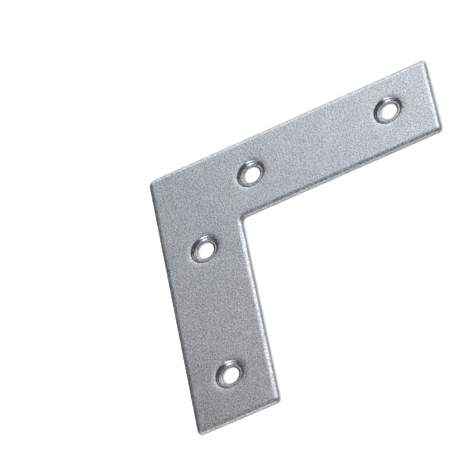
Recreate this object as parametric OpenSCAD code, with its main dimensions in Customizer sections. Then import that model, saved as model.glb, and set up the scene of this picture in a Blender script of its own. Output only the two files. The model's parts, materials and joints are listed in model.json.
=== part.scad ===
// Flat corner plate. An L of thin mild steel, blanked on a press and zinc plated, with four
// countersunk screw holes. It is screwed flat across the joint of a frame, a box or a door.
//
// The plate lies on its back with the countersunk face up. The origin is on the back, at the elbow
// where the centrelines of the two arms cross. One arm runs along +X and the other along +Y.

/* [Plate] */
// Length of each arm, along its outer edge
arm_length = 70; // [50:1:120]
// Width of each arm
arm_width = 20; // [14:0.5:30]
// Thickness of the sheet
thickness = 1.2; // [1:0.1:3]
// Plan radius of the corner at the elbow
elbow_radius = 1.4; // [0.3:0.1:5]
// Plan radius of the two corners at the end of each arm
end_radius = 0.9; // [0.3:0.1:5]
// Plan radius in the inside corner
inside_radius = 1; // [0.3:0.1:5]

/* [Hole places] */
// X arm: distance of the near hole from the outer edge of the Y arm
x_near_hole = 24.2; // [20:0.1:40]
// X arm: how far the near hole sits off the centreline, towards the inside corner
x_near_shift = 0.1; // [-1.5:0.1:1.5]
// X arm: distance of the far hole from the end of the arm
x_end_hole = 11.5; // [6:0.1:20]
// X arm: how far the far hole sits off the centreline, towards the inside corner
x_end_shift = 0; // [-1.5:0.1:1.5]
// Y arm: distance of the near hole from the outer edge of the X arm
y_near_hole = 24.5; // [20:0.1:40]
// Y arm: how far the near hole sits off the centreline, towards the inside corner
y_near_shift = -0.2; // [-1.5:0.1:1.5]
// Y arm: distance of the far hole from the end of the arm
y_end_hole = 10.9; // [6:0.1:20]
// Y arm: how far the far hole sits off the centreline, towards the inside corner
y_end_shift = -0.9; // [-1.5:0.1:1.5]

/* [Screw holes] */
// Diameter of the screw hole
bore_d = 4; // [3:0.1:5.2]
// Diameter of the shallow dip round the hole, where it leaves the face
dip_d = 9.4; // [8:0.1:12]
// Radius of the arc that leads down into the dip
dip_radius = 11; // [6:0.5:20]
// Diameter of the countersink, where the dip meets its rounded rim
sink_d = 7.2; // [6:0.1:8.8]
// Radius of the rim
rim_radius = 0.3; // [0.1:0.05:0.5]
// Included angle of the countersink's cone
sink_angle = 100; // [90:5:130]
// Depth of the countersink, from the face to the flat land round the screw hole
sink_depth = 0.65; // [0.4:0.05:0.85]
// Height of the break-out at the back of the hole
breakout_height = 0.3; // [0.1:0.05:0.5]
// Flare of the break-out, on the radius
breakout_flare = 0.18; // [0.02:0.01:0.25]

/* [Blanked edge] */
// Width of the rolled-over border of the face
roll_width = 1.1; // [0.4:0.1:2]
// Depth of the rolled-over border at the wall
roll_depth = 0.35; // [0.2:0.05:0.6]
// Radius where the roll meets the wall
roll_nose = 0.12; // [0.05:0.01:0.18]
// Height of the torn lower part of the wall
fracture_height = 0.4; // [0.1:0.05:0.6]
// Lean of the torn part, inwards at the back
fracture_lean = 0.06; // [0.02:0.01:0.15]

/* [Hidden] */
$fn = 96;
// $fn of the shallow arcs, which use only a few degrees of their circle
arc_fn = 360;
// How far a cut runs past the surface that it opens
overlap = 0.5;
// How much an arc stands proud of what it blends into, so that they cross and don't only touch
bite = 0.0005;

// Each arm's axis is the middle of its width, and both cross at the origin
half_width = arm_width / 2;
reach = arm_length - half_width;
// The centres of the holes
HOLES = [
    [x_near_hole - half_width, x_near_shift],
    [reach - x_end_hole, x_end_shift],
    [y_near_shift, y_near_hole - half_width],
    [y_end_shift, reach - y_end_hole],
];

// The outline's corners in order, anticlockwise from the elbow: place, heading of the edge that
// leaves it, and plan radius, negative in the inside corner
CORNERS = [
    [[-half_width, -half_width], 0, elbow_radius],
    [[reach, -half_width], 90, end_radius],
    [[reach, half_width], 180, end_radius],
    [[half_width, half_width], 90, -inside_radius],
    [[half_width, reach], 180, end_radius],
    [[-half_width, reach], 270, end_radius],
];

// The roll is a wide arc, tangent to the face, that hands over to a small nose, tangent to the wall
nose_reach = roll_width - roll_nose;
roll_radius = (nose_reach * nose_reach + roll_depth * roll_depth - roll_nose * roll_nose)
    / (2 * (roll_depth - roll_nose));
// How far in from the wall it hands over
handover = roll_width - roll_radius * sin(atan2(nose_reach, roll_radius - roll_depth));

// Half-section through the border: x is the distance in from the wall and y the height over the back
module border_section() {
    wall_top = thickness - roll_depth + 2 * bite;
    // The roll, under the wide arc and, next to the wall, also under the nose
    intersection() {
        translate([0, wall_top])
            square([roll_width, thickness - wall_top]);
        translate([roll_width, thickness - roll_radius + bite])
            circle(roll_radius, $fn = arc_fn);
        union() {
            translate([roll_nose, wall_top])
                circle(roll_nose);
            translate([handover, wall_top])
                square([roll_width - handover, thickness - wall_top]);
        }
    }
    // The wall, upright where it was sheared and leaning where it tore
    polygon([
        [fracture_lean, 0], [roll_width, 0], [roll_width, wall_top], [0, wall_top],
        [0, fracture_height],
    ]);
}

// A straight run of the border, along the edge that leaves corner i. Its ends stand square beside
// the corners' turned parts, and what the roll reaches beyond a small corner's axis is mitred.
module border_run(i) {
    from = CORNERS[i];
    to = CORNERS[(i + 1) % len(CORNERS)];
    length = norm(to[0] - from[0]);
    translate(from[0])
        rotate(from[1])
            intersection() {
                rotate([90, 0, 90])
                    linear_extrude(length)
                        border_section();
                linear_extrude(thickness)
                    polygon([
                        [run_start(from[2]), 0],
                        [length - run_start(to[2]), 0],
                        [length - run_start(to[2]), mitre_start(to[2])],
                        [length - run_end(to[2]), roll_width],
                        [run_end(from[2]), roll_width],
                        [run_start(from[2]), mitre_start(from[2])],
                    ]);
            }
}

// Distances from a corner of radius r: where the run starts at the wall, how far in from the wall
// its mitre starts, and where the run starts at the inner edge of the roll
function run_start(r) = abs(r);
function mitre_start(r) = r < 0 ? roll_width : min(r, roll_width);
function run_end(r) = r < 0 ? -r : max(r, roll_width);

// The border turned round outward corner i, solid to the corner's axis
module border_corner(i) {
    r = CORNERS[i][2];
    translate(CORNERS[i][0])
        rotate(CORNERS[i][1])
            translate([r, r])
                rotate(180)
                    rotate_extrude(angle = 90)
                        translate([r, 0])
                            mirror([1, 0])
                                intersection() {
                                    square([r, thickness]);
                                    union() {
                                        border_section();
                                        translate([roll_width, 0])
                                            square([max(r - roll_width, overlap), thickness]);
                                    }
                                }
}

// The border turned round the inside corner
module border_inside_corner() {
    translate([half_width + inside_radius, half_width + inside_radius])
        rotate(180)
            rotate_extrude(angle = 90)
                translate([inside_radius, 0])
                    border_section();
}

// The flat of the plate, inside the rolled border
module flat() {
    near = roll_width - half_width;
    end = reach - roll_width;
    inner = half_width - roll_width;
    fillet = roll_width + inside_radius;
    difference() {
        union() {
            translate([near, near])
                square([end - near, inner - near]);
            translate([near, near])
                square([inner - near, end - near]);
            translate([inner, inner])
                square(fillet);
        }
        // Room for the corners that are wider than the roll
        for (corner = CORNERS)
            if (corner[2] > roll_width)
                translate(corner[0])
                    rotate(corner[1])
                        square(corner[2]);
        // The inner edge of the roll round the inside corner
        translate([inner + fillet, inner + fillet])
            intersection() {
                circle(fillet);
                translate([-fillet, -fillet])
                    square(fillet);
            }
    }
}

module blank() {
    linear_extrude(thickness)
        flat();
    for (i = [0 : len(CORNERS) - 1]) {
        border_run(i);
        if (CORNERS[i][2] > 0)
            border_corner(i);
    }
    border_inside_corner();
}

// What the punch and the countersinking tool take out
module screw_hole() {
    slope = 90 - sink_angle / 2;
    dip_slope = asin((dip_d - sink_d) / 2 / dip_radius);
    bore_r = bore_d / 2;
    land = thickness - sink_depth;
    // The rim's axis, and where its arc ends and the cone starts
    rim_axis = [
        dip_d / 2 - (dip_radius - rim_radius) * sin(dip_slope),
        thickness - dip_radius + (dip_radius - rim_radius) * cos(dip_slope),
    ];
    cone_rim = rim_axis + rim_radius * [-sin(slope), cos(slope)];
    land_r = cone_rim[0] - (cone_rim[1] - land) / tan(slope);
    // The cone carries on outwards into the rim, until the rim's arc has crossed it
    crossing = sqrt(16 * rim_radius * bite);
    cone_top = cone_rim + crossing * [cos(slope), sin(slope)];
    rotate_extrude() {
        // Dip and rim
        difference() {
            translate([0, cone_rim[1]])
                square([dip_d / 2, thickness - cone_rim[1] + overlap]);
            intersection() {
                translate([dip_d / 2, thickness - dip_radius + bite])
                    circle(dip_radius, $fn = arc_fn);
                union() {
                    translate([rim_axis[0], rim_axis[1] + 2 * bite])
                        circle(rim_radius);
                    translate([sink_d / 2, land])
                        square([(dip_d - sink_d) / 2 + overlap, sink_depth + overlap]);
                }
            }
        }
        // Cone, down to the land
        polygon([[0, land], [land_r, land], cone_top, [0, cone_top[1]]]);
        // Bore
        translate([0, -overlap])
            square([bore_r, thickness + overlap]);
        // Break-out
        polygon([
            [0, -overlap], [bore_r + breakout_flare, -overlap], [bore_r + breakout_flare, 0],
            [bore_r, breakout_height], [0, breakout_height],
        ]);
    }
}

module corner_plate() {
    color("silver")
        difference() {
            blank();
            for (centre = HOLES)
                translate(centre)
                    screw_hole();
        }
}

corner_plate();
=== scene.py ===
"""Flat corner plate: an L of zinc-plated sheet steel with four countersunk screw holes.

The plate lies on its back and its face looks up along +Z. One arm runs along +X and the other
along +Y, and the origin is on the back, where the centrelines of the arms cross. All lengths are
in metres.
"""

import json
import math

import bpy
from bpy.props import FloatProperty, FloatVectorProperty, IntProperty, PointerProperty
from mathutils import Matrix, Vector


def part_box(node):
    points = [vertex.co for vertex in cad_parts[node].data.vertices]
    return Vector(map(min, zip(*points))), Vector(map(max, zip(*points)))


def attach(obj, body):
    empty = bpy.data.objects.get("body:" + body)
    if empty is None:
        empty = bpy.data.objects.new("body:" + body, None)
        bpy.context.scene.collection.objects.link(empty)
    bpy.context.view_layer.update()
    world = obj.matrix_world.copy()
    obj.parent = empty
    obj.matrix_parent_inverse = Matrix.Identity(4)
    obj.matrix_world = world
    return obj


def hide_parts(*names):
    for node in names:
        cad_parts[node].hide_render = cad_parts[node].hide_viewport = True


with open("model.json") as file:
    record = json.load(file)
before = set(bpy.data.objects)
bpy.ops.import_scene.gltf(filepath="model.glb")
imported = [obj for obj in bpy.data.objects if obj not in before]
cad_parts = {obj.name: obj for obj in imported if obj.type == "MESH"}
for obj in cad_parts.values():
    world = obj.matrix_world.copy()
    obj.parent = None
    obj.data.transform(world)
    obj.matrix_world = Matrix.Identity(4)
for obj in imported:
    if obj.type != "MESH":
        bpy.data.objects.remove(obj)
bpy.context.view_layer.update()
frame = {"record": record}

bl_info = {
    "name": "Flat corner plate",
    "version": (1, 0, 0),
    "blender": (4, 5, 0),
    "location": "3D View > Sidebar > Corner Plate",
    "description": "Zinc-plated corner plate, blanked from sheet, with four countersunk holes",
    "category": "Add Mesh",
}

MM = 0.001
WELD_DISTANCE = 0.008 * MM
PLATE_NODE = "corner_plate"
LOW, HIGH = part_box(PLATE_NODE)
HOLES = {
    mount["name"]: mount for mount in frame["record"]["mounts"] if mount["kind"] == "bore"
}


def add_object(name, data):
    """A new object in the scene's collection."""
    made = bpy.data.objects.new(name, data)
    bpy.context.collection.objects.link(made)
    return made


# ---------------------------------------------------------------------------------------------
# Node building
# ---------------------------------------------------------------------------------------------


class Wire:
    """An output socket that can be used in ordinary arithmetic, in shader and geometry trees."""

    def __init__(self, bench, socket):
        self.bench = bench
        self.socket = socket

    def other(self, name):
        """Another output of the same node."""
        return Wire(self.bench, self.bench.find(self.socket.node.outputs, name))

    def __add__(self, value):
        return self.bench.math("ADD", self, value)

    def __radd__(self, value):
        return self.bench.math("ADD", value, self)

    def __sub__(self, value):
        return self.bench.math("SUBTRACT", self, value)

    def __rsub__(self, value):
        return self.bench.math("SUBTRACT", value, self)

    def __mul__(self, value):
        return self.bench.math("MULTIPLY", self, value)

    def __rmul__(self, value):
        return self.bench.math("MULTIPLY", value, self)

    def __truediv__(self, value):
        return self.bench.math("DIVIDE", self, value)

    def __rtruediv__(self, value):
        return self.bench.math("DIVIDE", value, self)

    def __neg__(self):
        return self.bench.math("MULTIPLY", self, -1.0)

    def __gt__(self, value):
        return self.bench.math("GREATER_THAN", self, value)

    def __lt__(self, value):
        return self.bench.math("LESS_THAN", self, value)


class Bench:
    """Adds nodes to one tree and links them up."""

    def __init__(self, tree):
        self.tree = tree

    @staticmethod
    def find(sockets, key):
        """The socket with this place in the list, or the enabled one with this name."""
        if isinstance(key, int):
            return sockets[key]
        return next(s for s in sockets if s.enabled and s.name == key)

    def add(self, kind, settings=None, inputs=None):
        """A node with its settings made first and its sockets filled, as its first output.

        The setting choices is how many values an index switch picks from."""
        node = self.tree.nodes.new(kind)
        for name, value in (settings or {}).items():
            if name == "choices":
                for _ in range(value - len(node.index_switch_items)):
                    node.index_switch_items.new()
            else:
                setattr(node, name, value)
        for key, value in (inputs or {}).items():
            self.feed(self.find(node.inputs, key), value)
        outputs = [s for s in node.outputs if s.enabled]
        return Wire(self, outputs[0]) if outputs else node

    def feed(self, socket, value):
        """Links a wire, or several where the socket takes several, or sets a plain value."""
        for item in value if isinstance(value, list) else [value]:
            if isinstance(item, Wire):
                self.tree.links.new(item.socket, socket)
            else:
                socket.default_value = item

    def math(self, operation, *values):
        return self.add(
            "ShaderNodeMath", {"operation": operation}, dict(enumerate(values))
        )

    def vector(self, operation, *values):
        return self.add(
            "ShaderNodeVectorMath", {"operation": operation}, dict(enumerate(values))
        )

    def xyz(self, x, y, z):
        return self.add("ShaderNodeCombineXYZ", None, {"X": x, "Y": y, "Z": z})

    def parts(self, vector):
        """The x, y and z of a vector."""
        x = self.add("ShaderNodeSeparateXYZ", None, {"Vector": vector})
        return x, x.other("Y"), x.other("Z")

    def mix(self, factor, a, b):
        """A number between a and b."""
        return self.add("ShaderNodeMix", {"data_type": "FLOAT"}, {"Factor": factor, "A": a, "B": b})

    def blend(self, factor, a, b, how="MIX"):
        """A colour between a and b, or a colour with b laid over it in the named way."""
        return self.add(
            "ShaderNodeMix",
            {"data_type": "RGBA", "blend_type": how},
            {"Factor": factor, "A": a, "B": b},
        )

    def between(self, value, low, high, start=0.0, end=1.0):
        """A value mapped from low..high to start..end and held there beyond them, smoothly."""
        return self.add(
            "ShaderNodeMapRange",
            {"interpolation_type": "SMOOTHSTEP", "clamp": True},
            {"Value": value, "From Min": low, "From Max": high, "To Min": start, "To Max": end},
        )

    def noise(self, place, scale, detail=2.0, roughness=0.5, distortion=0.0):
        return self.add(
            "ShaderNodeTexNoise",
            {"noise_dimensions": "3D"},
            {
                "Vector": place,
                "Scale": scale,
                "Detail": detail,
                "Roughness": roughness,
                "Distortion": distortion,
            },
        )


def shader_bench(owner):
    """A bench on the emptied node tree of a material or of the world."""
    owner.use_nodes = True
    owner.node_tree.nodes.clear()
    return Bench(owner.node_tree)


class GeometryBench(Bench):
    """A bench for geometry trees."""

    def pick(self, index, values, kind="FLOAT"):
        """The value whose place in the list is index."""
        return self.add(
            "GeometryNodeIndexSwitch",
            {"data_type": kind, "choices": len(values)},
            {"Index": index, **{str(i): value for i, value in enumerate(values)}},
        )

    def choose(self, condition, if_true, if_false):
        """One of two numbers."""
        return self.add(
            "GeometryNodeSwitch",
            {"input_type": "FLOAT"},
            {"Switch": condition, "True": if_true, "False": if_false},
        )

    def sample(self, geometry, vector, index):
        """What a vector is at one point of a geometry."""
        return self.add(
            "GeometryNodeSampleIndex",
            {"data_type": "FLOAT_VECTOR", "domain": "POINT"},
            {"Geometry": geometry, "Value": vector, "Index": index},
        )

    def store(self, geometry, name, value):
        """The geometry with a number kept on each of its points, under this name."""
        return self.add(
            "GeometryNodeStoreNamedAttribute",
            {"data_type": "FLOAT", "domain": "POINT"},
            {"Geometry": geometry, "Name": name, "Value": value},
        )

    def merge(self, *geometries):
        """The geometries joined, with points that lie in one place made one."""
        joined = self.add("GeometryNodeJoinGeometry", None, {"Geometry": list(geometries)})
        return self.add(
            "GeometryNodeMergeByDistance", None, {"Geometry": joined, "Distance": WELD_DISTANCE}
        )


# ---------------------------------------------------------------------------------------------
# Sizes and finishes that a user may change
# ---------------------------------------------------------------------------------------------


def length(name, description, default):
    """A length in the sidebar, given here in millimetres."""
    return FloatProperty(
        name=name,
        description=description,
        default=default * MM,
        min=0.0,
        unit="LENGTH",
        precision=4,
    )


def hole_centre(name, description, mount):
    """A hole's centre in the sidebar, from the record's mount of that name."""
    return FloatVectorProperty(
        name=name,
        description=description,
        size=2,
        default=HOLES[mount]["pos_m"][:2],
        subtype="XYZ",
        unit="LENGTH",
    )


class PlateSizes(bpy.types.PropertyGroup):
    """Sizes of the plate and of its worked edges."""

    arm_length: length(
        "Arm length", "Length of each arm, along its outer edge", (HIGH.x - LOW.x) / MM
    )
    arm_width: length("Arm width", "Width of each arm", -2 * LOW.x / MM)
    thickness: length("Thickness", "Thickness of the sheet", (HIGH.z - LOW.z) / MM)
    elbow_radius: length("Elbow radius", "Plan radius of the corner at the elbow", 1.4)
    end_radius: length("End radius", "Plan radius of the corners at the end of each arm", 0.9)
    inside_radius: length("Inside radius", "Plan radius in the inside corner", 1.0)

    x_near: hole_centre("X arm, near hole", "Hole nearer the elbow", "screw_hole_x_near")
    x_far: hole_centre("X arm, far hole", "Hole nearer the end", "screw_hole_x_far")
    y_near: hole_centre("Y arm, near hole", "Hole nearer the elbow", "screw_hole_y_near")
    y_far: hole_centre("Y arm, far hole", "Hole nearer the end", "screw_hole_y_far")
    bore_radius: length(
        "Bore radius",
        "Radius of the screw holes",
        HOLES["screw_hole_x_near"]["dims"]["r_mm"],
    )
    dip_radius: length("Dip radius", "Outer radius of the shallow dip round a hole", 4.7)
    dip_arc: length("Dip arc", "Radius of the arc that leads from the face into the dip", 11.0)
    sink_radius: length("Countersink radius", "Radius where the dip meets the rounded rim", 3.6)
    rim_radius: length("Rim radius", "Radius that rounds the countersink's rim", 0.3)
    sink_slope: FloatProperty(
        name="Countersink slope",
        description="Slope of the countersink's cone against the face",
        default=math.radians(40),
        subtype="ANGLE",
    )
    sink_depth: length("Countersink depth", "Depth of the flat land round a screw hole", 0.65)
    breakout_height: length("Break-out height", "Height of the break-out at the back", 0.3)
    breakout_flare: length("Break-out flare", "Flare of the break-out, on the radius", 0.18)

    roll_width: length("Roll width", "Width of the rolled-over border of the face", 1.1)
    roll_depth: length("Roll depth", "Depth of the rolled-over border at the wall", 0.35)
    roll_nose: length("Roll nose", "Radius where the roll meets the wall", 0.12)
    roll_unevenness: FloatProperty(
        name="Roll unevenness",
        description="How much the roll's width wanders, as a share of it",
        default=0.12,
        min=0.0,
        max=0.4,
        subtype="FACTOR",
    )
    fracture_height: length("Torn height", "Height of the torn lower part of the wall", 0.4)
    fracture_lean: length("Torn lean", "Lean of the torn part, inwards at the back", 0.06)

    facet: length("Facet", "Spacing of the mesh's points along the straight edges", 0.5)
    hole_facets: IntProperty(
        name="Hole facets", description="Facets round each hole", default=96, min=24
    )


def colour(name, description, default):
    """A colour in the sidebar."""
    return FloatVectorProperty(
        name=name,
        description=description,
        size=3,
        default=default,
        min=0.0,
        max=1.0,
        subtype="COLOR",
    )


def share(name, description, default):
    """A number from 0 to 1 in the sidebar."""
    return FloatProperty(
        name=name, description=description, default=default, min=0.0, max=1.0, subtype="FACTOR"
    )


class ZincFinish(bpy.types.PropertyGroup):
    """Colours, grain and roughness of the plated steel."""

    zinc: colour("Zinc", "Plated face, with the blue of its passivation", (0.587, 0.626, 0.688))
    zinc_straw: colour("Straw zinc", "Patches where the passivation is thin", (0.597, 0.63, 0.665))
    zinc_dull: colour("Dull zinc", "Duller face towards the X arm's end", (0.60, 0.61, 0.62))
    # The steel colour is also painted shade: it is darker than thin plating alone, so that the
    # walls look shaded
    steel: colour("Steel", "Thinly plated steel on the wall and in the holes", (0.26, 0.268, 0.275))
    grain: length("Grain", "Size of the sandy grain of the face", 0.31)
    speckle: share("Speckle", "How much the grain lightens and darkens the face", 0.43)
    mottle: share("Mottle", "How much the face lightens and darkens in soft patches", 0.2)
    grain_depth: length("Grain depth", "Depth of the grain", 0.012)
    roughness: share("Roughness", "Roughness of the plated face", 0.32)
    wall_roughness: share("Wall roughness", "Roughness of the torn part of the wall", 0.75)
    tool_pitch: length("Tool pitch", "Spacing of the rings that the countersink left", 0.6)
    tool_depth: length("Tool depth", "Depth of those rings", 0.03)
    land_dish: length("Land dish", "Dip of the land towards the bore, in its shading only", 0.15)


def level(name, description, default):
    """A brightness in the sidebar, where 1 is as bright as white paper."""
    return FloatProperty(name=name, description=description, default=default, min=0.0)


class StudioLight(bpy.types.PropertyGroup):
    """The floor and the lamps round the plate."""

    floor: colour("Floor", "Floor and backdrop", (0.96, 0.96, 0.96))
    room: level("Room", "Light from the room all round", 0.13)
    key: level("Key box", "Large box behind the plate, which the face mirrors", 1.1)
    side_strip: level("Side strip", "Narrow box that lights the rolled edges on the +Y side", 1.0)
    overhead: level("Overhead box", "Box high up on the -Y side", 0.25)
    side_box: level("Side box", "Box at the side, which lights the countersinks' far walls", 0.95)
    front: level("Front box", "Box in front, which lights the near walls", 3.5)
    back: level("Back box", "Box at the back, which lights the rolled edges on the -X side", 1.3)
    floor_lamp: level("Floor lamp", "Lamp that lights the floor and backdrop alone", 2.3)
    floor_fill: level("Floor fill", "Wide soft lamp for the floor and backdrop alone", 0.62)


# ---------------------------------------------------------------------------------------------
# Finish
# ---------------------------------------------------------------------------------------------

# How often each pattern repeats, in waves to the metre
PATCH_WAVES = 85.0
CLOUD_WAVES = 280.0
FLECK_WAVES = 900.0
WOBBLE_WAVES = 1500.0
STREAK_WAVES = 3600.0

# The sandy grain: how much finer its fine part is, the share of each part, and the band of the
# noise that goes from the darkest grain to the lightest
FINER = 2.7
COARSE_SHARE = 0.6
FINE_SHARE = 0.4
GRAIN_BAND = (0.36, 0.64)

# The patches: the share of broad patch and of fleck, and the band where zinc turns to straw
PATCH_SHARE = 0.6
FLECK_SHARE = 0.4
STRAW_BAND = (0.44, 0.62)

# Where along the X arm the plating turns dull, and how the wall's streaks are drawn out upwards
DULL_BAND = (5 * MM, 60 * MM)
UPRIGHT = (1.0, 1.0, 0.1)

# A countersink from its rim to its land, as bands of the recess mark
CONE_BAND = (0.0, 0.2)
RING_BAND = (0.1, 0.4)
LAND_BAND = (0.55, 0.95)

# How much each worked zone takes of the dark steel colour, which on the walls is thin plating and
# painted shade and on the land only darkens it, and of the torn wall's roughness, where the torn
# wall takes all of both
SHEARED_STEEL_AND_SHADE = 0.75
LAND_DARKENING = 0.35
SHEARED_ROUGH = 0.6
LAND_ROUGH = 0.1

# How much the cone darkens, and how much the rings and the streaks vary the shade
CONE_SHADE = 0.3
RING_SHADE = 0.12
STREAK_SHADE = 0.5

# How much smoother the cone is, and how much each pattern varies the roughness
CONE_SMOOTH = 0.08
PATCH_ROUGH = 0.12
COARSE_ROUGH = 0.2
STREAK_ROUGH = 0.3

# How far the tool's wobble bends its rings, as a share of their pitch, and how deep the sheared
# wall's streaks are, as a share of the rings' depth
RING_WOBBLE = 0.5
STREAK_DEPTH = 0.6


def zinc_material(finish):
    """Bright zinc on blanked steel: sandy grain, patches of passivation, and walls darkened as bare
    steel and as painted shade.
    """
    material = bpy.data.materials.new("zinc plate")
    bench = shader_bench(material)
    place = bench.add("ShaderNodeTexCoord").other("Object")
    sheared, torn, recess, dished, radius = (
        bench.add("ShaderNodeAttribute", {"attribute_name": name}).other("Fac")
        for name in ("sheared", "torn", "recess", "dished", "turned_radius")
    )

    # Sandy grain of the rolled sheet, coarse and fine
    coarse = bench.noise(place, 1.0 / finish.grain, detail=1.0)
    fine = bench.noise(place, FINER / finish.grain, detail=1.0)
    grain = coarse * COARSE_SHARE + fine * FINE_SHARE
    speckle = bench.between(grain, *GRAIN_BAND, 1.0 - finish.speckle, 1.0 + finish.speckle)

    # Passivation in patches, over a face that is duller along the X arm
    patch = bench.noise(place, PATCH_WAVES, detail=3.0, roughness=0.55, distortion=0.5)
    flecks = bench.noise(place, FLECK_WAVES, roughness=0.6)
    along_x, _, _ = bench.parts(place)
    plating = bench.blend(
        bench.between(along_x, *DULL_BAND), (*finish.zinc, 1.0), (*finish.zinc_dull, 1.0)
    )
    straw = bench.between(patch * PATCH_SHARE + flecks * FLECK_SHARE, *STRAW_BAND)
    plating = bench.blend(straw, plating, (*finish.zinc_straw, 1.0))

    # The wall's vertical streaks and the countersink's rings
    drawn_out = bench.vector("MULTIPLY", place, UPRIGHT)
    streaks = bench.noise(drawn_out, STREAK_WAVES, roughness=0.6)
    wobble = bench.noise(place, WOBBLE_WAVES) * (RING_WOBBLE * finish.tool_pitch)
    rings = bench.math("SINE", (radius + wobble) * (2 * math.pi / finish.tool_pitch))
    rings = rings * bench.between(recess, *RING_BAND)
    land = bench.between(recess, *LAND_BAND)
    cone = bench.between(recess, *CONE_BAND)

    # Walls in the dark steel colour, as thin plating and as painted shade, a darker land, and the
    # shade of each zone
    dark_share = bench.math(
        "MAXIMUM", bench.math("MAXIMUM", sheared * SHEARED_STEEL_AND_SHADE, torn), land * LAND_DARKENING
    )
    coloured = bench.blend(dark_share, plating, (*finish.steel, 1.0))
    cloud = bench.noise(place, CLOUD_WAVES)
    shade = speckle * (1.0 + (cloud - 0.5) * finish.mottle)
    shade = shade * (1.0 - (cone - land) * CONE_SHADE) * (1.0 + rings * RING_SHADE)
    shade = shade * bench.mix(sheared, 1.0, 1.0 - STREAK_SHADE / 2 + streaks * STREAK_SHADE)
    coloured = bench.blend(1.0, coloured, bench.xyz(shade, shade, shade), "MULTIPLY")

    roughness = bench.mix(
        bench.math(
            "MAXIMUM", bench.math("MAXIMUM", torn, sheared * SHEARED_ROUGH), land * LAND_ROUGH
        ),
        finish.roughness
        - cone * CONE_SMOOTH
        + (patch - 0.5) * PATCH_ROUGH
        + (coarse - 0.5) * COARSE_ROUGH,
        finish.wall_roughness + (streaks - 0.5) * STREAK_ROUGH,
    )
    sandy = bench.add(
        "ShaderNodeBump", None, {"Strength": 1.0, "Distance": finish.grain_depth, "Height": grain}
    )
    relief = (
        rings
        + streaks * sheared * STREAK_DEPTH
        - dished * (finish.land_dish / finish.tool_depth)
    )
    tooled = bench.add(
        "ShaderNodeBump",
        None,
        {"Strength": 1.0, "Distance": finish.tool_depth, "Height": relief, "Normal": sandy},
    )
    surface = bench.add(
        "ShaderNodeBsdfPrincipled",
        None,
        {"Base Color": coloured, "Metallic": 1.0, "Roughness": roughness, "Normal": tooled},
    )
    bench.add("ShaderNodeOutputMaterial", None, {"Surface": surface})
    return material


# ---------------------------------------------------------------------------------------------
# The plate
# ---------------------------------------------------------------------------------------------

PLATE_INPUTS = [
    "arm_length",
    "arm_width",
    "thickness",
    "elbow_radius",
    "end_radius",
    "inside_radius",
    "bore_radius",
    "dip_radius",
    "dip_arc",
    "sink_radius",
    "rim_radius",
    "sink_slope",
    "sink_depth",
    "breakout_height",
    "breakout_flare",
    "roll_width",
    "roll_depth",
    "roll_nose",
    "roll_unevenness",
    "fracture_height",
    "fracture_lean",
    "facet",
]
HOLE_INPUTS = ["x_near", "x_far", "y_near", "y_far"]

# Facets round each corner of the outline, and rows of facets in each zone of the two sections
CORNER_FACETS = 14
ROLL_ROWS = 12
NOSE_ROWS = 8
WALL_ROWS = 3
TORN_ROWS = 2
DIP_ROWS = 8
RIM_ROWS = 8
CONE_ROWS = 3
LAND_ROWS = 3
BORE_ROWS = 2
FLARE_ROWS = 1

# The width of the flat row that joins a section to the face, the waves to the metre in the
# roll's width, a mark's least value, and the angle past which an edge is sharp
FLAT_ROW = 0.15 * MM
ROLL_WAVES = 70.0
MARKED = 0.9
CREASE = math.radians(35)


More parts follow.
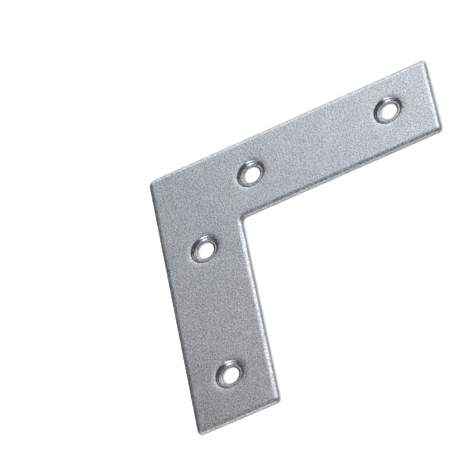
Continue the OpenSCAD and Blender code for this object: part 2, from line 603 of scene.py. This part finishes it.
class PlateTree(GeometryBench):
    """The geometry tree that blanks the plate: outline, rolled border, holes, face and back."""

    def __init__(self, zinc):
        super().__init__(bpy.data.node_groups.new("Blanked plate", "GeometryNodeTree"))
        kinds = dict.fromkeys(PLATE_INPUTS, "NodeSocketFloat")
        kinds.update(dict.fromkeys(HOLE_INPUTS, "NodeSocketVector"), hole_facets="NodeSocketInt")
        words = PlateSizes.bl_rna.properties
        self.sockets = {
            name: self.tree.interface.new_socket(
                words[name].name, in_out="INPUT", socket_type=kind
            )
            for name, kind in kinds.items()
        }
        self.tree.interface.new_socket(
            "Geometry", in_out="OUTPUT", socket_type="NodeSocketGeometry"
        )
        entry = self.tree.nodes.new("NodeGroupInput")
        self.size = {
            name: Wire(self, self.find(entry.outputs, socket.name))
            for name, socket in self.sockets.items()
        }
        self.index = self.add("GeometryNodeInputIndex")
        self.position = self.add("GeometryNodeInputPosition")

        size = self.size
        self.half = size["arm_width"] / 2.0
        self.reach = size["arm_length"] - self.half
        border = self.border(self.outline())
        holes = self.holes()
        face = self.cover([border, holes], "front_row", size["thickness"])
        back = self.add(
            "GeometryNodeFlipFaces", None, {"Mesh": self.cover([border, holes], "back_row", 0.0)}
        )
        plate = self.merge(border, holes, face, back)
        for mark in ("front_row", "back_row"):
            plate = self.add(
                "GeometryNodeRemoveAttribute", None, {"Geometry": plate, "Name": mark}
            )
        plate = self.add(
            "GeometryNodeSetShadeSmooth",
            {"domain": "FACE"},
            {"Geometry": plate, "Shade Smooth": True},
        )
        crease = self.add("GeometryNodeInputMeshEdgeAngle") > CREASE
        plate = self.add(
            "GeometryNodeSetShadeSmooth",
            {"domain": "EDGE"},
            {"Geometry": plate, "Selection": crease, "Shade Smooth": False},
        )
        plate = self.add("GeometryNodeRealizeInstances", None, {"Geometry": plate})
        plate = self.add("GeometryNodeSetMaterial", None, {"Geometry": plate, "Material": zinc})
        self.add("NodeGroupOutput", None, {"Geometry": plate})

    def outline(self):
        """The rounded outline of the plate, anticlockwise from the elbow."""
        half, reach, size = self.half, self.reach, self.size
        corners = self.xyz(
            self.pick(self.index, [-half, reach, reach, half, half, -half]),
            self.pick(self.index, [-half, -half, half, half, reach, reach]),
            0.0,
        )
        end = size["end_radius"]
        radii = [size["elbow_radius"], end, end, size["inside_radius"], end, end]
        points = self.add("GeometryNodePoints", None, {"Count": len(radii), "Position": corners})
        line = self.add("GeometryNodePointsToCurves", None, {"Points": points})
        loop = self.add("GeometryNodeSetSplineCyclic", None, {"Geometry": line, "Cyclic": True})
        rounded = self.add(
            "GeometryNodeFilletCurve",
            {"mode": "POLY"},
            {"Curve": loop, "Count": CORNER_FACETS, "Radius": self.pick(self.index, radii)},
        )
        following = self.add(
            "GeometryNodeFieldAtIndex",
            {"data_type": "FLOAT_VECTOR", "domain": "POINT"},
            {
                "Value": self.position,
                "Index": self.math("MODULO", self.index + 1.0, self.count(rounded)),
            },
        )
        gap = self.vector("DISTANCE", self.position, following).other("Value")
        return self.add(
            "GeometryNodeSubdivideCurve",
            None,
            {"Curve": rounded, "Cuts": self.math("FLOOR", gap / size["facet"])},
        )

    def count(self, curve):
        """How many points a curve has."""
        return self.add(
            "GeometryNodeAttributeDomainSize", {"component": "CURVE"}, {"Geometry": curve}
        )

    def plain_net(self, columns, rows):
        """A net of points, to be laid out, with the column and row of each point."""
        net = self.add("GeometryNodeMeshGrid", None, {"Vertices X": columns, "Vertices Y": rows})
        row = self.math("FLOORED_MODULO", self.index, rows)
        column = self.math("FLOOR", (self.index + 0.5) / rows)
        return net, column, row

    @staticmethod
    def zones(*rows):
        """The rows where the zones of a section start, after its flat row, and its last row."""
        starts = [1]
        for count in rows:
            starts.append(starts[-1] + count)
        return starts

    def along(self, row, starts):
        """How far along each zone a row is, from 0 at the zone's start to 1 at its end."""
        return [self.between_plain(row, start, end) for start, end in zip(starts, starts[1:])]

    def border(self, outline):
        """The rolled border, the sheared wall and its torn foot, all round the outline."""
        size = self.size
        width, depth, nose = size["roll_width"], size["roll_depth"], size["roll_nose"]
        thickness = size["thickness"]
        inner = width - nose
        radius = (inner * inner + depth * depth - nose * nose) / (2.0 * (depth - nose))
        turn = self.math("ARCTAN2", inner, radius - depth)

        # From the face: a flat row, the wide arc, the nose, the sheared wall and the torn foot
        starts = self.zones(ROLL_ROWS, NOSE_ROWS, WALL_ROWS, TORN_ROWS)
        _, nose_row, wall_row, _, last_row = starts
        count = self.count(outline)
        net, column, row = self.plain_net(count + 1.0, last_row + 1)
        along_roll, along_nose, along_wall, along_torn = self.along(row, starts)
        on_roll = row < nose_row + 0.5
        angle = along_roll * turn + along_nose * (math.pi / 2 - turn)
        arc = self.choose(on_roll, radius, nose)
        inset = self.choose(on_roll, width, nose) - arc * self.math("SINE", angle)
        drop = self.choose(on_roll, radius, depth) - arc * self.math("COSINE", angle)
        inset = inset + along_torn * size["fracture_lean"]
        inset = inset + (row < 0.5) * FLAT_ROW
        height = (
            thickness
            - drop
            - along_wall * (thickness - depth - size["fracture_height"])
            - along_torn * size["fracture_height"]
        )

        sampled = self.math("FLOORED_MODULO", column, count)
        spot = self.sample(outline, self.position, sampled)
        tangent = self.sample(outline, self.add("GeometryNodeInputTangent"), sampled)
        inwards = self.vector("CROSS_PRODUCT", (0.0, 0.0, 1.0), tangent)
        wander = (self.noise(spot, ROLL_WAVES) - 0.5) * 2.0 * size["roll_unevenness"]
        inset = inset * (1.0 + wander * (row < wall_row - 0.5))
        x, y, _ = self.parts(self.vector("ADD", spot, self.scaled(inwards, inset)))

        # Beyond a small corner's radius the roll ends in a mitre
        half, reach = self.half, self.reach
        middle = (half + reach) / 2.0
        least = self.math("MAXIMUM", x, inset - half), self.math("MAXIMUM", y, inset - half)
        x = self.math("MINIMUM", least[0], reach - inset)
        y = self.math("MINIMUM", least[1], reach - inset)
        inner_edge = half - inset
        y_held = self.choose(x > middle, self.math("MINIMUM", y, inner_edge), y)
        x_held = self.choose(y > middle, self.math("MINIMUM", x, inner_edge), x)
        border = self.add(
            "GeometryNodeSetPosition",
            None,
            {"Geometry": net, "Position": self.xyz(x_held, y_held, height)},
        )
        marks = {"sheared": along_nose, "torn": along_torn}
        finished = self.finish_net(border, row, last_row, marks)
        return self.add("GeometryNodeFlipFaces", None, {"Mesh": finished})

    def scaled(self, vector, factor):
        """A vector made longer or shorter by this factor."""
        return self.add(
            "ShaderNodeVectorMath", {"operation": "SCALE"}, {0: vector, "Scale": factor}
        )

    def between_plain(self, value, low, high):
        """0 up to low, 1 from high, and in a straight line between them."""
        return self.add(
            "ShaderNodeMapRange",
            {"interpolation_type": "LINEAR", "clamp": True},
            {"Value": value, "From Min": low, "From Max": high},
        )

    def finish_net(self, net, row, last_row, marks):
        """Marks the first and last rows of a laid-out net, and closes its seam."""
        ends = {"front_row": row < 0.5, "back_row": row > last_row - 0.5}
        for name, value in {**ends, **marks}.items():
            net = self.store(net, name, value)
        return self.merge(net)

    def holes(self):
        """Four countersunk holes: dip, rounded rim, cone, land, bore and break-out."""
        size = self.size
        thickness, dip, rim = size["thickness"], size["dip_arc"], size["rim_radius"]
        slope = size["sink_slope"]
        dip_slope = self.math("ARCSINE", (size["dip_radius"] - size["sink_radius"]) / dip)

        # Where the cone starts and ends, as radii and heights
        dip_foot = thickness - dip * (1.0 - self.math("COSINE", dip_slope))
        cone_radius = size["sink_radius"] - rim * (
            self.math("SINE", slope) - self.math("SINE", dip_slope)
        )
        cone_top = dip_foot - rim * (
            self.math("COSINE", dip_slope) - self.math("COSINE", slope)
        )
        land = thickness - size["sink_depth"]
        land_radius = cone_radius - (cone_top - land) / self.math("TANGENT", slope)

        starts = self.zones(DIP_ROWS, RIM_ROWS, CONE_ROWS, LAND_ROWS, BORE_ROWS, FLARE_ROWS)
        last_row = starts[-1]
        net, column, row = self.plain_net(size["hole_facets"] + 1.0, last_row + 1)
        on_dip, on_rim, on_cone, on_land, on_bore, on_flare = self.along(row, starts)
        dip_angle = on_dip * dip_slope
        rim_angle = dip_slope + on_rim * (slope - dip_slope)
        radius = (
            size["dip_radius"]
            - dip * self.math("SINE", dip_angle)
            - rim * (self.math("SINE", rim_angle) - self.math("SINE", dip_slope))
            - on_cone * (cone_radius - land_radius)
            - on_land * (land_radius - size["bore_radius"])
            + on_flare * size["breakout_flare"]
            + (row < 0.5) * FLAT_ROW
        )
        height = (
            thickness
            - dip * (1.0 - self.math("COSINE", dip_angle))
            - rim * (self.math("COSINE", dip_slope) - self.math("COSINE", rim_angle))
            - on_cone * (cone_top - land)
            - on_bore * (land - size["breakout_height"])
            - on_flare * size["breakout_height"]
        )
        turn = column / size["hole_facets"] * (2 * math.pi)
        laid = self.add(
            "GeometryNodeSetPosition",
            None,
            {
                "Geometry": net,
                "Position": self.xyz(
                    radius * self.math("COSINE", turn), radius * self.math("SINE", turn), height
                ),
            },
        )
        marks = {"recess": on_cone, "dished": on_land, "torn": on_flare, "turned_radius": radius}
        hole = self.finish_net(laid, row, last_row, marks)
        places = self.pick(self.index, [size[name] for name in HOLE_INPUTS], "VECTOR")
        centres = self.add(
            "GeometryNodePoints", None, {"Count": len(HOLE_INPUTS), "Position": places}
        )
        placed = self.add(
            "GeometryNodeInstanceOnPoints", None, {"Points": centres, "Instance": hole}
        )
        return self.add("GeometryNodeRealizeInstances", None, {"Geometry": placed})

    def cover(self, nets, mark, height):
        """The flat of the plate at this height, between the nets' marked rows."""
        marked = (
            self.add("GeometryNodeInputNamedAttribute", {"data_type": "FLOAT"}, {"Name": mark})
            > MARKED
        )
        rims = [
            self.add("GeometryNodeMeshToCurve", None, {"Mesh": net, "Selection": marked})
            for net in nets
        ]
        joined = self.add("GeometryNodeJoinGeometry", None, {"Geometry": rims})
        filled = self.add("GeometryNodeFillCurve", {"mode": "TRIANGLES"}, {"Curve": joined})
        x, y, _ = self.parts(self.position)
        return self.add(
            "GeometryNodeSetPosition",
            None,
            {"Geometry": filled, "Position": self.xyz(x, y, height)},
        )


class PLATE_OT_build(bpy.types.Operator):
    """Blank the corner plate with its rolled border and its four countersunk holes"""

    bl_idname = "corner_plate.build"
    bl_label = "Build the plate"

    def execute(self, context):
        sizes = context.scene.plate_sizes
        zinc = zinc_material(context.scene.zinc_finish)
        bench = PlateTree(zinc)
        holder = add_object("blank", bpy.data.meshes.new("blank"))
        maker = holder.modifiers.new("Blanked plate", "NODES")
        maker.node_group = bench.tree
        for name, socket in bench.sockets.items():
            value = getattr(sizes, name)
            if name in HOLE_INPUTS:
                value = (*value, 0.0)
            maker[socket.identifier] = value
        context.view_layer.update()
        evaluated = holder.evaluated_get(context.evaluated_depsgraph_get())
        mesh = bpy.data.meshes.new_from_object(evaluated)
        bpy.data.objects.remove(holder)
        if not mesh.polygons:
            raise RuntimeError("the plate's tree made no faces")
        plate = add_object("plate", mesh)
        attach(plate, "root")
        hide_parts(PLATE_NODE)
        return {"FINISHED"}


# ---------------------------------------------------------------------------------------------
# The stage
# ---------------------------------------------------------------------------------------------

# The floor's flat and then its cove, as rings that each have a radius and a height
FLOOR_RINGS = [(3.0, 0.0), (3.15, 0.075), (3.21, 0.25)]
FLOOR_SIDES = 48

# The lamps round the plate and those for the floor alone: each one's name, its setting, its
# azimuth and elevation, and the width and height that it fills as the plate sees it, in degrees
PLATE_LAMPS = [
    ("key box", "key", 172.0, 46.0, 40.0, 42.0),
    ("side strip", "side_strip", 160.0, 51.0, 12.0, 32.0),
    ("overhead box", "overhead", 275.0, 66.0, 40.0, 36.0),
    ("side box", "side_box", 303.0, 37.0, 34.0, 26.0),
    ("front box", "front", -25.0, 25.0, 30.0, 50.0),
    ("back box", "back", 200.0, 26.0, 24.0, 20.0),
]
FLOOR_LAMPS = [
    ("floor lamp", "floor_lamp", 8.0, 50.0, 60.0, 40.0),
    ("floor fill", "floor_fill", 60.0, 80.0, 90.0, 90.0),
]
PLATE_LAMP_DISTANCE = 1.0
FLOOR_LAMP_DISTANCE = 1.5
LAMP_AIM = Vector((0.02, 0.02, 0.0))

# The lens and the sensor's width in mm, the camera's angles in degrees, and what it looks at
LENS = 324.7
SENSOR_WIDTH = 36.0
CAMERA_AZIMUTH, CAMERA_ELEVATION, CAMERA_ROLL = 24.73, 49.41, 43.03
CAMERA_DISTANCE = 0.90763
CAMERA_AIM = Vector((9.34, 5.64, 0.0)) * MM


def add_floor(light):
    """A plain pale floor that the plate lies on, with a low cove all round, far off."""
    mesh = bpy.data.meshes.new("floor")
    points = [(0.0, 0.0, 0.0)]
    for radius, height in FLOOR_RINGS:
        for i in range(FLOOR_SIDES):
            turn = 2 * math.pi * i / FLOOR_SIDES
            points.append((radius * math.cos(turn), radius * math.sin(turn), height))
    faces = [(0, 1 + i, 1 + (i + 1) % FLOOR_SIDES) for i in range(FLOOR_SIDES)]
    for ring in range(len(FLOOR_RINGS) - 1):
        inner = 1 + ring * FLOOR_SIDES
        outer = inner + FLOOR_SIDES
        for i in range(FLOOR_SIDES):
            j = (i + 1) % FLOOR_SIDES
            faces.append((inner + i, outer + i, outer + j, inner + j))
    mesh.from_pydata(points, [], faces)
    floor = add_object("floor", mesh)
    material = bpy.data.materials.new("floor")
    bench = shader_bench(material)
    surface = bench.add("ShaderNodeBsdfDiffuse", None, {"Color": (*light.floor, 1.0)})
    bench.add("ShaderNodeOutputMaterial", None, {"Surface": surface})
    mesh.materials.append(material)
    return floor


def heading(azimuth, elevation):
    """The direction at these angles in degrees. The azimuth runs from +X towards +Y."""
    a, e = math.radians(azimuth), math.radians(elevation)
    return Vector((math.cos(a) * math.cos(e), math.sin(a) * math.cos(e), math.sin(e)))


def add_lamp(name, azimuth, elevation, width, height, brightness, distance, only=None):
    """A soft box that looks at the plate. Its angles are in degrees, its width and height are
    what it fills as the plate sees it, and a brightness of 1 is that of white paper. Only is the
    collection that it lights, where it doesn't light everything."""
    data = bpy.data.lights.new(name, "AREA")
    data.shape = "RECTANGLE"
    data.size = 2 * distance * math.tan(math.radians(width) / 2)
    data.size_y = 2 * distance * math.tan(math.radians(height) / 2)
    data.energy = brightness * math.pi * data.size * data.size_y
    lamp = add_object(name, data)
    outwards = heading(azimuth, elevation)
    lamp.matrix_world = Matrix.LocRotScale(
        LAMP_AIM + outwards * distance, outwards.to_track_quat("Z", "Y"), None
    )
    if only:
        lamp.light_linking.receiver_collection = only


def add_world(light):
    """Soft dim light, the same from all round."""
    world = bpy.data.worlds.new("studio")
    bpy.context.scene.world = world
    bench = shader_bench(world)
    surface = bench.add(
        "ShaderNodeBackground", None, {"Color": (1.0, 1.0, 1.0, 1.0), "Strength": light.room}
    )
    bench.add("ShaderNodeOutputWorld", None, {"Surface": surface})


def add_camera():
    """A long lens that looks down on the plate with its elbow to the left."""
    data = bpy.data.cameras.new("camera")
    data.lens = LENS
    data.sensor_width = SENSOR_WIDTH
    camera = add_object("camera", data)
    back = heading(CAMERA_AZIMUTH, CAMERA_ELEVATION)
    upright = back.to_track_quat("Z", "Y").to_matrix()
    turned = upright @ Matrix.Rotation(-math.radians(CAMERA_ROLL), 3, "Z")
    camera.matrix_world = Matrix.LocRotScale(
        CAMERA_AIM + back * CAMERA_DISTANCE, turned.to_quaternion(), None
    )
    bpy.context.scene.camera = camera


class PLATE_OT_stage(bpy.types.Operator):
    """Lay the floor and set the lamps and the camera"""

    bl_idname = "corner_plate.stage"
    bl_label = "Set the stage"

    def execute(self, context):
        light = context.scene.studio_light
        context.scene.view_settings.view_transform = "Standard"
        floor = add_floor(light)
        backdrop = bpy.data.collections.new("backdrop")
        backdrop.objects.link(floor)
        add_world(light)
        for name, setting, *angles in PLATE_LAMPS:
            add_lamp(name, *angles, getattr(light, setting), PLATE_LAMP_DISTANCE)
        for name, setting, *angles in FLOOR_LAMPS:
            add_lamp(name, *angles, getattr(light, setting), FLOOR_LAMP_DISTANCE, backdrop)
        add_camera()
        return {"FINISHED"}


class PLATE_PT_panel(bpy.types.Panel):
    """Sizes, finish and stage of the corner plate"""

    bl_label = "Corner plate"
    bl_space_type = "VIEW_3D"
    bl_region_type = "UI"
    bl_category = "Corner Plate"

    def draw(self, context):
        for group in (
            context.scene.plate_sizes,
            context.scene.zinc_finish,
            context.scene.studio_light,
        ):
            box = self.layout.box()
            for name in group.__annotations__:
                box.prop(group, name)
        for operator in (PLATE_OT_build, PLATE_OT_stage):
            self.layout.operator(operator.bl_idname)


CLASSES = (PlateSizes, ZincFinish, StudioLight, PLATE_OT_build, PLATE_OT_stage, PLATE_PT_panel)


def register():
    for cls in CLASSES:
        bpy.utils.register_class(cls)
    bpy.types.Scene.plate_sizes = PointerProperty(type=PlateSizes)
    bpy.types.Scene.zinc_finish = PointerProperty(type=ZincFinish)
    bpy.types.Scene.studio_light = PointerProperty(type=StudioLight)


def unregister():
    del bpy.types.Scene.studio_light
    del bpy.types.Scene.zinc_finish
    del bpy.types.Scene.plate_sizes
    for cls in reversed(CLASSES):
        bpy.utils.unregister_class(cls)


def main():
    register()
    bpy.ops.corner_plate.build()
    bpy.ops.corner_plate.stage()


if __name__ == "__main__":
    main()
